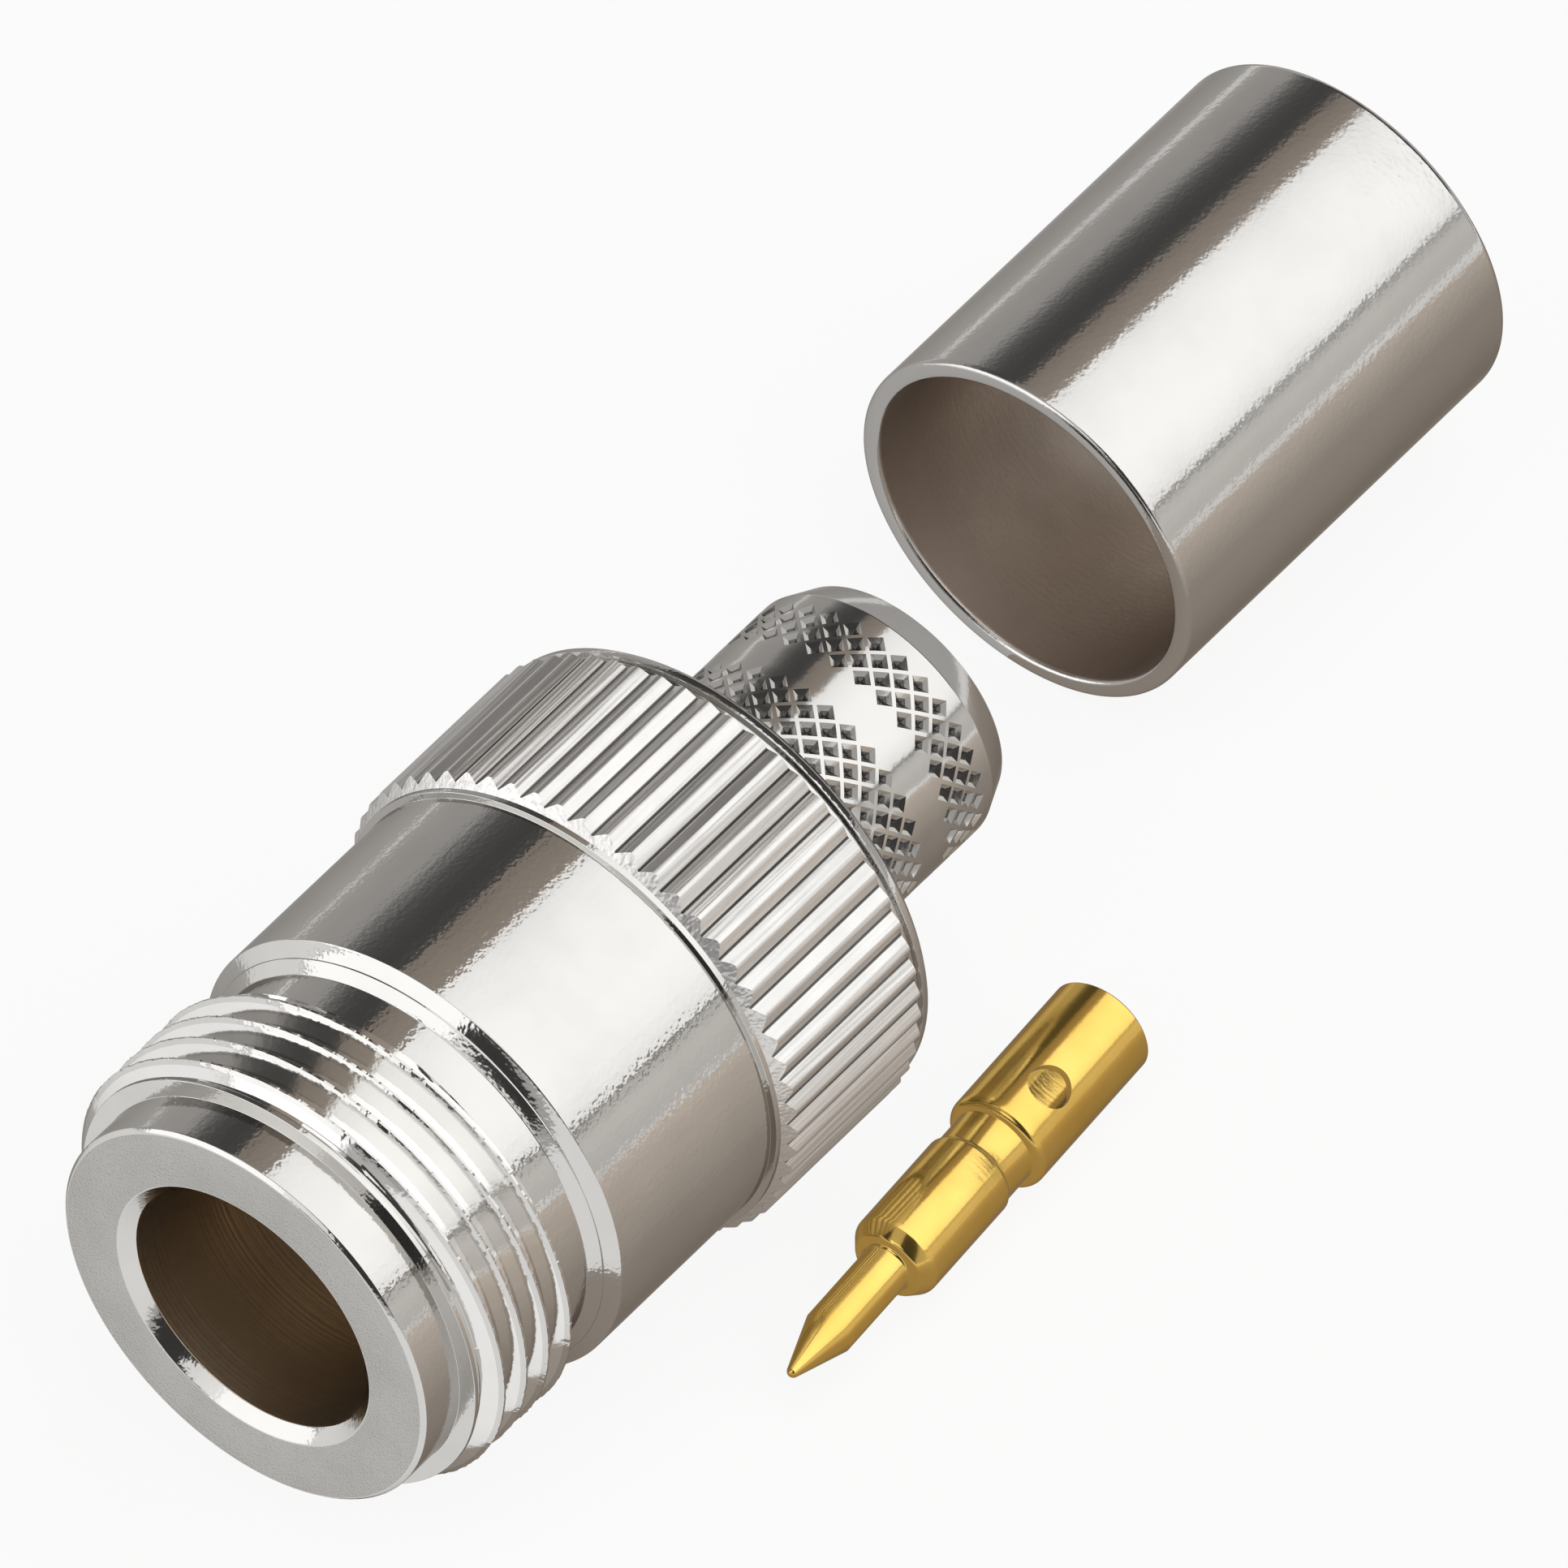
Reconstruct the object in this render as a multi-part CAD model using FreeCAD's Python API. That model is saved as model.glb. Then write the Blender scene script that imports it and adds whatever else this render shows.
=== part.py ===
"""Crimp jack of the N family with reverse polarity: a female threaded shell for a male centre pin.

The set has the turned shell with its pressed crimp stem and insulator bead, and beside them the
gold centre pin and the crimp ferrule, which go on when the cable is fitted.

Millimetres. The origin is the centre of the shell's mating face, +Y runs back along the shell
towards the cable, +Z is up, and all the pieces lie on one level surface below.
"""
import FreeCAD, Part
import math
import os

# Shell, from the mating face back
MOUTH_CHAMFER = 0.41
SOCKET_R = 4.40
SOCKET_DEPTH = 9.20
NOSE_R = 6.90
NOSE_LENGTH = 1.70
NOSE_EDGE = 0.12
LEAD_R = 7.50
LEAD_LENGTH = 0.16
THREAD_R = 7.9375
THREAD_CHAMFER_LENGTH = 0.30
THREAD_LENGTH = 3.84
RUNOUT_LENGTH = 0.27
RELIEF_R = 7.10
RELIEF_LENGTH = 1.35
STEP_R = 7.50
STEP_RISE = 0.22
STEP_LAND = 0.06
SHOULDER_RISE = 0.20
BARREL_R = 7.97
BARREL_EDGE = 0.10
BARREL_LENGTH = 7.20

# Knurled collar at the back of the shell
COLLAR_R = 8.57
COLLAR_RING_R = 8.20
COLLAR_RING_LENGTH = 0.20
COLLAR_CHAMFER_LENGTH = 0.36
COLLAR_TEETH = 58
TEETH_LENGTH = 6.02
GROOVE_DEPTH = 0.24
GROOVE_HALF_WIDTH = 0.39
REAR_LINE_DROP = 0.33
REAR_LINE_WIDTH = 0.18
REAR_LINE_BEVEL = 0.06
RIM_DROP = 0.19
RIM_LENGTH = 0.48
RIM_BEVEL = 0.20

# Bores behind the socket
LINE_R = 3.52
LINE_LENGTH = 2.80
BEAD_R = 4.30
BEAD_LENGTH = 4.50
BEAD_CLEARANCE = 0.01
STEM_SEAT_R = 5.20
STEM_SEAT_CHAMFER = 0.20
PRESS_CLEARANCE = 0.01

# Crimp stem, pressed into the back of the shell
FLANGE_RECESS = 0.40
FLANGE_EDGE = 0.15
STEM_R = 4.64
STEM_BORE_R = 3.80
STEM_PLAIN_START = 0.30
FIRST_BAND_LENGTH = 4.10
BAND_GAP = 1.03
SECOND_BAND_LENGTH = 1.79
STEM_RIM_LENGTH = 0.56
STEM_END_R = 4.18
STEM_END_TAPER = 1.07
STEM_MOUTH_CHAMFER = 0.15

# Diamond knurl on the stem: staggered rows of pits with a crest left between them
KNURL_PITS_ROUND = 32
KNURL_ROW = 0.41
KNURL_DEPTH = 0.20
KNURL_CREST = 0.13
KNURL_RAISE = 0.03

# Centre pin
PIN_TIP_RADIUS = 0.20
PIN_R = 0.81
PIN_CONE_LENGTH = 1.95
PIN_LENGTH = 5.10
PIN_FILLET = 0.16
PIN_FACE_R = 1.16
PIN_BEVEL_LENGTH = 0.48
MID_R = 1.49
MID_LENGTH = 3.93
MID_REAR_BEVEL = 0.10
NECK_R = 1.38
NECK_LENGTH = 1.28
CRIMP_R = 1.73
CRIMP_EDGE = 0.30
CRIMP_LENGTH = 5.93
CRIMP_REAR_EDGE = 0.10
CRIMP_BORE_R = 1.42
CRIMP_BORE_DEPTH = 5.00
CRIMP_MOUTH_CHAMFER = 0.12
DRILL_HALF_ANGLE = 59.0
WINDOW_R = 0.72
WINDOW_FROM_FRONT = 1.88
WINDOW_ROLL = 28.0

# How the pin seats in the bead
PIN_HOLE_CLEARANCE = 0.02
PIN_SEAT_CLEARANCE = 0.03
PIN_SEAT_DEPTH = 2.00

# Crimp ferrule
FERRULE_R = 6.31
FERRULE_BORE_R = 5.68
FERRULE_LENGTH = 15.92
FERRULE_EDGE = 0.20

# Where the loose pieces lie beside the shell: the front end's centre and the turn to the left
FERRULE_X = -2.30
FERRULE_Y = 41.06
PIN_X = 10.63
PIN_Y = 12.92
PIN_TURN = 4.1

# Stations along the shell
THREAD_START = NOSE_LENGTH + LEAD_LENGTH + THREAD_CHAMFER_LENGTH
THREAD_END = THREAD_START + THREAD_LENGTH
RELIEF_START = THREAD_END + RUNOUT_LENGTH
RELIEF_END = RELIEF_START + RELIEF_LENGTH
STEP_START = RELIEF_END + STEP_RISE
STEP_END = STEP_START + STEP_LAND
BARREL_START = STEP_END + SHOULDER_RISE + BARREL_EDGE
COLLAR_START = BARREL_START + BARREL_LENGTH
TEETH_START = COLLAR_START + COLLAR_RING_LENGTH + COLLAR_CHAMFER_LENGTH
TEETH_END = TEETH_START + TEETH_LENGTH
RIM_START = TEETH_END + REAR_LINE_WIDTH + 2.0 * REAR_LINE_BEVEL
SHELL_END = RIM_START + RIM_LENGTH
BEAD_START = SOCKET_DEPTH + LINE_LENGTH
BEAD_END = BEAD_START + BEAD_LENGTH
FLANGE_END = SHELL_END - FLANGE_RECESS
FIRST_BAND_START = SHELL_END + STEM_PLAIN_START
FIRST_BAND_END = FIRST_BAND_START + FIRST_BAND_LENGTH
SECOND_BAND_START = FIRST_BAND_END + BAND_GAP
SECOND_BAND_END = SECOND_BAND_START + SECOND_BAND_LENGTH
STEM_RIM_END = SECOND_BAND_END + STEM_RIM_LENGTH
STEM_END = STEM_RIM_END + STEM_END_TAPER
BAND_R = STEM_R + KNURL_RAISE
REAR_LINE_R = COLLAR_R - REAR_LINE_DROP
RIM_R = COLLAR_R - RIM_DROP

AXIS = FreeCAD.Vector(0, 1, 0)
ORIGIN = FreeCAD.Vector(0, 0, 0)

# The collar lies on two of its crests, one each side of a groove, and so it doesn't roll
CREST_REST_R = COLLAR_R * math.cos(math.pi / COLLAR_TEETH)
FLOOR = -max(CREST_REST_R, COLLAR_RING_R, BARREL_R, THREAD_R)

# A cutter stands this share of its depth proud of the surface that it cuts
CUTTER_PROUD = 0.12


class Outline:
    """Half of a turned section, drawn as radius and station, and closed back to its start."""

    def __init__(self, radius, station):
        self.start = FreeCAD.Vector(radius, station, 0)
        self.here = self.start
        self.edges = []

    def line(self, radius, station):
        there = FreeCAD.Vector(radius, station, 0)
        self.edges.append(Part.makeLine(self.here, there))
        self.here = there

    def path(self, *corners):
        for radius, station in corners:
            self.line(radius, station)

    def arc(self, centre_radius, centre_station, radius, station):
        """A quarter turn or less about the centre given, from here to the new point."""
        centre = FreeCAD.Vector(centre_radius, centre_station, 0)
        there = FreeCAD.Vector(radius, station, 0)
        size = (self.here - centre).Length
        middle = (self.here + there) * 0.5 - centre
        middle = centre + middle.normalize() * size
        self.edges.append(Part.Arc(self.here, middle, there).toShape())
        self.here = there

    def turn(self):
        if (self.here - self.start).Length > 1e-9:
            self.edges.append(Part.makeLine(self.here, self.start))
        return Part.Face(Part.Wire(self.edges)).revolve(ORIGIN, AXIS, 360)


def shell_blank():
    """The turned shell before its collar is knurled."""
    half = Outline(SOCKET_R, MOUTH_CHAMFER)
    half.path(
        (SOCKET_R + MOUTH_CHAMFER, 0),
        (NOSE_R - NOSE_EDGE, 0),
        (NOSE_R, NOSE_EDGE),
        (NOSE_R, NOSE_LENGTH),
        (LEAD_R, NOSE_LENGTH + LEAD_LENGTH),
        (THREAD_R, THREAD_START),
        (THREAD_R, THREAD_END),
        (RELIEF_R, RELIEF_START),
        (RELIEF_R, RELIEF_END),
        (STEP_R, STEP_START),
        (STEP_R, STEP_END),
        (BARREL_R - BARREL_EDGE, STEP_END + SHOULDER_RISE),
        (BARREL_R, BARREL_START),
        (BARREL_R, COLLAR_START),
        (COLLAR_RING_R, COLLAR_START),
        (COLLAR_RING_R, COLLAR_START + COLLAR_RING_LENGTH),
        (COLLAR_R, TEETH_START),
        (COLLAR_R, TEETH_END),
        (REAR_LINE_R, TEETH_END + REAR_LINE_BEVEL),
        (REAR_LINE_R, RIM_START - REAR_LINE_BEVEL),
        (RIM_R, RIM_START),
        (RIM_R, SHELL_END - RIM_BEVEL),
        (RIM_R - RIM_BEVEL, SHELL_END),
        (STEM_SEAT_R + STEM_SEAT_CHAMFER, SHELL_END),
        (STEM_SEAT_R, SHELL_END - STEM_SEAT_CHAMFER),
        (STEM_SEAT_R, BEAD_END),
        (BEAD_R, BEAD_END),
        (BEAD_R, BEAD_START),
        (LINE_R, BEAD_START),
        (LINE_R, SOCKET_DEPTH),
        (SOCKET_R, SOCKET_DEPTH),
    )
    return half.turn()


def collar_grooves():
    """Straight V grooves around the collar, the first at its lowest point."""
    root = COLLAR_R - GROOVE_DEPTH
    top = COLLAR_R + GROOVE_DEPTH * CUTTER_PROUD
    half_width = GROOVE_HALF_WIDTH * (1.0 + CUTTER_PROUD)
    front = COLLAR_START + COLLAR_RING_LENGTH / 2.0
    back = TEETH_END + REAR_LINE_BEVEL + REAR_LINE_WIDTH / 2.0
    corners = [
        FreeCAD.Vector(0, front, -root),
        FreeCAD.Vector(half_width, front, -top),
        FreeCAD.Vector(-half_width, front, -top),
    ]
    section = Part.Face(Part.makePolygon(corners + corners[:1]))
    groove = section.extrude(AXIS * (back - front))
    pitch = 360.0 / COLLAR_TEETH
    grooves = []
    for index in range(COLLAR_TEETH):
        copy = groove.copy()
        copy.rotate(ORIGIN, AXIS, index * pitch)
        grooves.append(copy)
    return Part.makeCompound(grooves)


def connector_shell():
    """Nose, thread land, barrel and knurled collar, turned from one bar."""
    return shell_blank().cut(collar_grooves())


def knurl_pit():
    """One diamond pit of the knurl, as a four-sided point that stands on the lowest line."""
    cell_half_round = math.pi * BAND_R / KNURL_PITS_ROUND
    cell_inset = KNURL_ROW * cell_half_round / math.hypot(KNURL_ROW, cell_half_round)
    share = (1.0 - KNURL_CREST / 2.0 / cell_inset) * (1.0 + CUTTER_PROUD)
    top = BAND_R + KNURL_DEPTH * CUTTER_PROUD
    tip = FreeCAD.Vector(0, 0, KNURL_DEPTH - BAND_R)
    rim = [
        FreeCAD.Vector(0, -KNURL_ROW * share, -top),
        FreeCAD.Vector(cell_half_round * share, 0, -top),
        FreeCAD.Vector(0, KNURL_ROW * share, -top),
        FreeCAD.Vector(-cell_half_round * share, 0, -top),
    ]
    faces = [Part.Face(Part.makePolygon(rim + rim[:1]))]
    for first, second in zip(rim, rim[1:] + rim[:1]):
        faces.append(Part.Face(Part.makePolygon([tip, first, second, tip])))
    return Part.makeSolid(Part.makeShell(faces))


def knurl_pits(start, end):
    """The pits of one band, each row turned by half a pit from the last."""
    pit = knurl_pit()
    pits = []
    for row in range(1, int((end - start) / KNURL_ROW)):
        for index in range(KNURL_PITS_ROUND):
            copy = pit.copy()
            copy.rotate(ORIGIN, AXIS, (index + 0.5 * (row % 2)) * 360.0 / KNURL_PITS_ROUND)
            copy.translate(AXIS * (start + KNURL_ROW * row))
            pits.append(copy)
    return pits


def knurl_band(start, end):
    """The land that a band is knurled in, with an edge on the line of every pit's centre."""
    corners = []
    for index in range(2 * KNURL_PITS_ROUND + 1):
        angle = math.pi * index / KNURL_PITS_ROUND
        corners.append(FreeCAD.Vector(BAND_R * math.sin(angle), start, -BAND_R * math.cos(angle)))
    return Part.Face(Part.makePolygon(corners)).extrude(AXIS * (end - start))


def stem_bore():
    """The cable's way through the stem, with its chamfered mouth."""
    half = Outline(0, BEAD_END)
    half.path(
        (STEM_BORE_R, BEAD_END),
        (STEM_BORE_R, STEM_END - STEM_MOUTH_CHAMFER),
        (STEM_BORE_R + STEM_MOUTH_CHAMFER, STEM_END),
        (0, STEM_END),
    )
    return half.turn()


def crimp_stem():
    """The knurled tube that the cable's braid is crimped on, with the flange that is pressed in."""
    flange = STEM_SEAT_R - PRESS_CLEARANCE
    half = Outline(0, BEAD_END)
    half.path(
        (flange - FLANGE_EDGE, BEAD_END),
        (flange, BEAD_END + FLANGE_EDGE),
        (flange, FLANGE_END),
        (STEM_R, FLANGE_END),
        (STEM_R, STEM_RIM_END),
        (STEM_END_R, STEM_END),
        (0, STEM_END),
    )
    bands = [(FIRST_BAND_START, FIRST_BAND_END), (SECOND_BAND_START, SECOND_BAND_END)]
    stem = half.turn()
    cuts = [stem_bore()]
    for start, end in bands:
        stem = stem.fuse(knurl_band(start, end))
        cuts += knurl_pits(start, end)
    return stem.cut(Part.makeCompound(cuts))


def insulator_bead():
    """The plastic bead that holds the centre pin on the axis, trapped by the stem's flange."""
    hole = MID_R + PIN_HOLE_CLEARANCE
    seat = CRIMP_R + PIN_SEAT_CLEARANCE
    half = Outline(hole, BEAD_START)
    half.path(
        (BEAD_R - BEAD_CLEARANCE, BEAD_START),
        (BEAD_R - BEAD_CLEARANCE, BEAD_END),
        (seat, BEAD_END),
        (seat, BEAD_END - PIN_SEAT_DEPTH),
        (hole, BEAD_END - PIN_SEAT_DEPTH),
    )
    return half.turn()


def centre_pin():
    """Pointed contact with a stop barrel, a neck and a drilled crimp barrel with a window."""
    mid_start = PIN_LENGTH + PIN_FILLET + PIN_BEVEL_LENGTH
    mid_end = mid_start + MID_LENGTH
    neck_end = mid_end + MID_REAR_BEVEL + NECK_LENGTH
    crimp_start = neck_end + CRIMP_EDGE
    end = neck_end + CRIMP_LENGTH
    bore_end = end - CRIMP_BORE_DEPTH
    drill_point = bore_end - CRIMP_BORE_R / math.tan(math.radians(DRILL_HALF_ANGLE))

    lean = math.atan2(PIN_R - PIN_TIP_RADIUS, PIN_CONE_LENGTH)
    touch_r = PIN_TIP_RADIUS * math.cos(lean)
    touch_y = PIN_TIP_RADIUS * (1.0 - math.sin(lean))

    half = Outline(0, drill_point)
    half.line(0, 0)
    half.arc(0, PIN_TIP_RADIUS, touch_r, touch_y)
    half.line(PIN_R, touch_y + PIN_CONE_LENGTH)
    half.path(
        (PIN_R, PIN_LENGTH),
        (PIN_R + PIN_FILLET, PIN_LENGTH + PIN_FILLET),
        (PIN_FACE_R, PIN_LENGTH + PIN_FILLET),
        (MID_R, mid_start),
        (MID_R, mid_end),
        (NECK_R, mid_end + MID_REAR_BEVEL),
        (NECK_R, neck_end),
        (CRIMP_R - CRIMP_EDGE, neck_end),
    )
    half.arc(CRIMP_R - CRIMP_EDGE, crimp_start, CRIMP_R, crimp_start)
    half.path(
        (CRIMP_R, end - CRIMP_REAR_EDGE),
        (CRIMP_R - CRIMP_REAR_EDGE, end),
        (CRIMP_BORE_R + CRIMP_MOUTH_CHAMFER, end),
        (CRIMP_BORE_R, end - CRIMP_MOUTH_CHAMFER),
        (CRIMP_BORE_R, bore_end),
    )
    pin = half.turn()

    place = FreeCAD.Vector(0, neck_end + WINDOW_FROM_FRONT, 0)
    window = Part.makeCylinder(WINDOW_R, CRIMP_R * 2.0, place, FreeCAD.Vector(0, 0, 1))
    window.rotate(ORIGIN, AXIS, WINDOW_ROLL)
    pin = pin.cut(window)

    pin.rotate(ORIGIN, FreeCAD.Vector(0, 0, 1), PIN_TURN)
    pin.translate(FreeCAD.Vector(PIN_X, PIN_Y, FLOOR + CRIMP_R))
    return pin


def crimp_ferrule():
    """The plain tube that is crimped over the cable's braid and the stem."""
    half = Outline(FERRULE_BORE_R, FERRULE_EDGE)
    half.path(
        (FERRULE_BORE_R + FERRULE_EDGE, 0),
        (FERRULE_R - FERRULE_EDGE, 0),
        (FERRULE_R, FERRULE_EDGE),
        (FERRULE_R, FERRULE_LENGTH - FERRULE_EDGE),
        (FERRULE_R - FERRULE_EDGE, FERRULE_LENGTH),
        (FERRULE_BORE_R + FERRULE_EDGE, FERRULE_LENGTH),
        (FERRULE_BORE_R, FERRULE_LENGTH - FERRULE_EDGE),
    )
    ferrule = half.turn()
    ferrule.translate(FreeCAD.Vector(FERRULE_X, FERRULE_Y, FLOOR + FERRULE_R))
    return ferrule


PIECES = {
    "connector_shell": connector_shell,
    "crimp_stem": crimp_stem,
    "insulator_bead": insulator_bead,
    "centre_pin": centre_pin,
    "crimp_ferrule": crimp_ferrule,
}

os.makedirs("parts", exist_ok=True)
for name, make in PIECES.items():
    shape = make()
    if len(shape.Solids) != 1 or not shape.isValid():
        raise RuntimeError(name + " is not one sound solid")
    shape.Solids[0].exportStep("parts/" + name + ".step")
    print(name, "volume", round(shape.Volume, 2), "mm3")
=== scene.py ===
import bmesh
import bpy
import math
from mathutils import Matrix, Vector


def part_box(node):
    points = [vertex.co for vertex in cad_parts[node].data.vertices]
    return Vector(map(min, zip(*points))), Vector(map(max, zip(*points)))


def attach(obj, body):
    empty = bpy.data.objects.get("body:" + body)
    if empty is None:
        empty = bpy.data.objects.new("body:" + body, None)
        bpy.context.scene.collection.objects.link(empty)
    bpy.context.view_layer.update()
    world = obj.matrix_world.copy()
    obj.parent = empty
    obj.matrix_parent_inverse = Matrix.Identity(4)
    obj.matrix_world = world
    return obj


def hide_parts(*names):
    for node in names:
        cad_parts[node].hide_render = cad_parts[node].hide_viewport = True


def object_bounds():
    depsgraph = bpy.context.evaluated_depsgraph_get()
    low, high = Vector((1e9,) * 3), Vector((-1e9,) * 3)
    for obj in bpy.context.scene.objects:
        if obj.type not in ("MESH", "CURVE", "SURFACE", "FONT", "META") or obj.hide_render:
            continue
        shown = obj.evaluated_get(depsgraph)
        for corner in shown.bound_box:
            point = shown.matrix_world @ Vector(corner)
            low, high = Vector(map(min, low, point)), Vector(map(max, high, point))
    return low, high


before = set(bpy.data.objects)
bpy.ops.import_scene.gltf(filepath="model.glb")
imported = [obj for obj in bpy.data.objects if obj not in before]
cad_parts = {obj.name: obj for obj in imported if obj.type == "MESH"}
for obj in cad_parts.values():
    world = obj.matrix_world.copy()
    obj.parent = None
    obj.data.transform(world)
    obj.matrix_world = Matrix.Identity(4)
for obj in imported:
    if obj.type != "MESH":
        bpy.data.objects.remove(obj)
cad_low, cad_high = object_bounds()

# The connector shell is turned from one brass bar and plated with bright nickel. A plain nose ring
# goes into the mating half, a fine thread takes its nut, and a knurled collar at the back is what
# the fingers hold.

MM = 0.001
SHELL_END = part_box("connector_shell")[1][1] / MM
EDGE_ROUND = 0.03
WELD = 0.0005

MOUTH_CHAMFER = 0.41
SOCKET_R = 4.40
SOCKET_DEPTH = 9.20
NOSE_R = 6.90
NOSE_LENGTH = 1.70
NOSE_EDGE = 0.13
LEAD_R = 7.50
LEAD_END = NOSE_LENGTH + 0.16

THREAD_R = 7.9375
THREAD_PITCH = 25.4 / 24.0
THREAD_ROOT_R = 7.31
THREAD_CREST = 0.08
CREST_CHIP = 0.045
CREST_PLAIN = 0.16
THREAD_FLANK_ANGLE = math.radians(30.0)
THREAD_FIRST_CREST = 2.864
THREAD_START = LEAD_END + 0.30
THREAD_END = THREAD_START + 3.84
RELIEF_START = THREAD_END + 0.27
RELIEF_R = 7.10
RELIEF_END = RELIEF_START + 1.31

STEP_R = 7.50
STEP_START = RELIEF_END + 0.28
STEP_END = STEP_START + 0.04
SHOULDER_END = STEP_END + 0.24
BARREL_R = 7.97
BARREL_EDGE = 0.10
BARREL_START = SHOULDER_END + 0.06
COLLAR_START = BARREL_START + 7.20

COLLAR_RING_R = 8.20
COLLAR_RING_END = COLLAR_START + 0.20
COLLAR_R = 8.57
COLLAR_TEETH = 58
TEETH_START = COLLAR_RING_END + 0.36
TEETH_END = TEETH_START + 6.02
GROOVE_DEPTH = 0.24
GROOVE_HALF_WIDTH = 0.39
GROOVE_LIFT = 0.04
GROOVE_FLOOR = 0.85
REAR_LINE_R = COLLAR_R - 0.33
REAR_LINE_BEVEL = 0.06
RIM_START = TEETH_END + 0.30
RIM_R = COLLAR_R - 0.19
RIM_TAPER = 0.05
RIM_BEVEL = 0.20

LINE_R = 3.52
BEAD_START = 12.00
BEAD_R = 4.30
BEAD_END = 16.50
STEM_SEAT_R = 5.20
STEM_SEAT_CHAMFER = 0.20


def eased(corners, size, steps=3):
    """A turned outline from end to end, with every corner between broken by a small round."""
    points = [corners[0]]
    for before, here, after in zip(corners, corners[1:], corners[2:]):
        corner = Vector(here)
        back = Vector(before) - corner
        ahead = Vector(after) - corner
        reach = min(size, 0.45 * back.length, 0.45 * ahead.length)
        back.normalize()
        ahead.normalize()
        for step in range(steps + 1):
            share = step / steps
            offset = back * reach * (1.0 - share) ** 2 + ahead * reach * share ** 2
            points.append(tuple(corner + offset))
    return points + [corners[-1]]


def ring(radius, station, angles):
    """One ring of a turned piece. Radius and station are numbers, or a list with one per angle."""
    count = len(angles)
    radii = radius if isinstance(radius, list) else [radius] * count
    stations = station if isinstance(station, list) else [station] * count
    return [(r * math.sin(a), y, -r * math.cos(a)) for r, y, a in zip(radii, stations, angles)]


def turned(corners, angles, size):
    return [ring(radius, station, angles) for radius, station in eased(corners, size)]


def skin(name, strips, sharp=35.0, folded=False):
    """A mesh woven through strips of rings in millimetres, with points that meet made one.

    Where it is folded, a face is split between its two corners that are most alike in radius.
    """
    corners = []
    faces = []
    for strip in strips:
        for row, points in enumerate(strip):
            count = len(points)
            start = len(corners)
            corners += points
            if row == 0:
                continue
            for column in range(count):
                beside = (column + 1) % count
                a, b = start - count + column, start - count + beside
                c, d = start + beside, start + column
                radii = [math.hypot(corners[index][0], corners[index][2]) for index in (a, b, c, d)]
                change = abs(radii[0] - radii[2]) - abs(radii[1] - radii[3])
                if folded and change > 0.001:
                    faces += [(a, b, d), (b, c, d)]
                elif folded and change < -0.001:
                    faces += [(a, b, c), (a, c, d)]
                else:
                    faces.append((a, b, c, d))
    mesh = bpy.data.meshes.new(name)
    mesh.from_pydata([Vector(corner) * MM for corner in corners], [], faces)
    work = bmesh.new()
    work.from_mesh(mesh)
    bmesh.ops.remove_doubles(work, verts=work.verts, dist=WELD * MM)
    bmesh.ops.recalc_face_normals(work, faces=work.faces)
    work.to_mesh(mesh)
    work.free()
    mesh.shade_smooth()
    mesh.set_sharp_from_angle(angle=math.radians(sharp))
    piece = bpy.data.objects.new(name, mesh)
    bpy.context.scene.collection.objects.link(piece)
    return piece


# Eight columns to each tooth of the collar, counted in half teeth from the bottom of its groove
TOOTH_COLUMNS = [0.0, 0.10, 0.78, 0.88, 1.0, 1.12, 1.22, 1.90]
half_tooth = math.pi / COLLAR_TEETH
shell_angles = []
tooth_r = []
for tooth in range(COLLAR_TEETH):
    for column in TOOTH_COLUMNS:
        shell_angles.append((2.0 * tooth + column) * half_tooth)
        from_root = min(column, 2.0 - column) * half_tooth * COLLAR_R / GROOVE_HALF_WIDTH
        rise = min(1.0, GROOVE_LIFT + (1.0 - GROOVE_LIFT) * from_root)
        tooth_r.append(COLLAR_R - GROOVE_DEPTH * (1.0 - rise))

thread_depth = THREAD_R - THREAD_ROOT_R
thread_flank = thread_depth * math.tan(THREAD_FLANK_ANGLE)


def crest_chip(turn, angle):
    """How much of the crest the die tore off there: a scattered share of CREST_CHIP."""
    return CREST_CHIP * (math.sin(211.0 * angle + 17.0 * turn) * 43758.5453 % 1.0)


def thread_radius(station, angle):
    """The helix, cut off by the chamfer in front and the run-out behind."""
    share = (station - THREAD_FIRST_CREST) / THREAD_PITCH + angle / (2.0 * math.pi)
    away = min(share % 1.0, 1.0 - share % 1.0) * THREAD_PITCH
    height = min(1.0, max(0.0, 1.0 - (away - THREAD_CREST / 2.0) / thread_flank))
    height = min(height, 1.0 - crest_chip(round(share), angle))
    climb = (station - LEAD_END) / (THREAD_START - LEAD_END)
    fall = (RELIEF_START - station) / (RELIEF_START - THREAD_END)
    front = LEAD_R + (THREAD_R - LEAD_R) * climb
    root = max(THREAD_ROOT_R, LEAD_R - (LEAD_R - THREAD_ROOT_R) * climb)
    back = RELIEF_R + (THREAD_R - RELIEF_R) * fall
    return min(max(root, min(THREAD_ROOT_R + thread_depth * height, front)), back)


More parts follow.
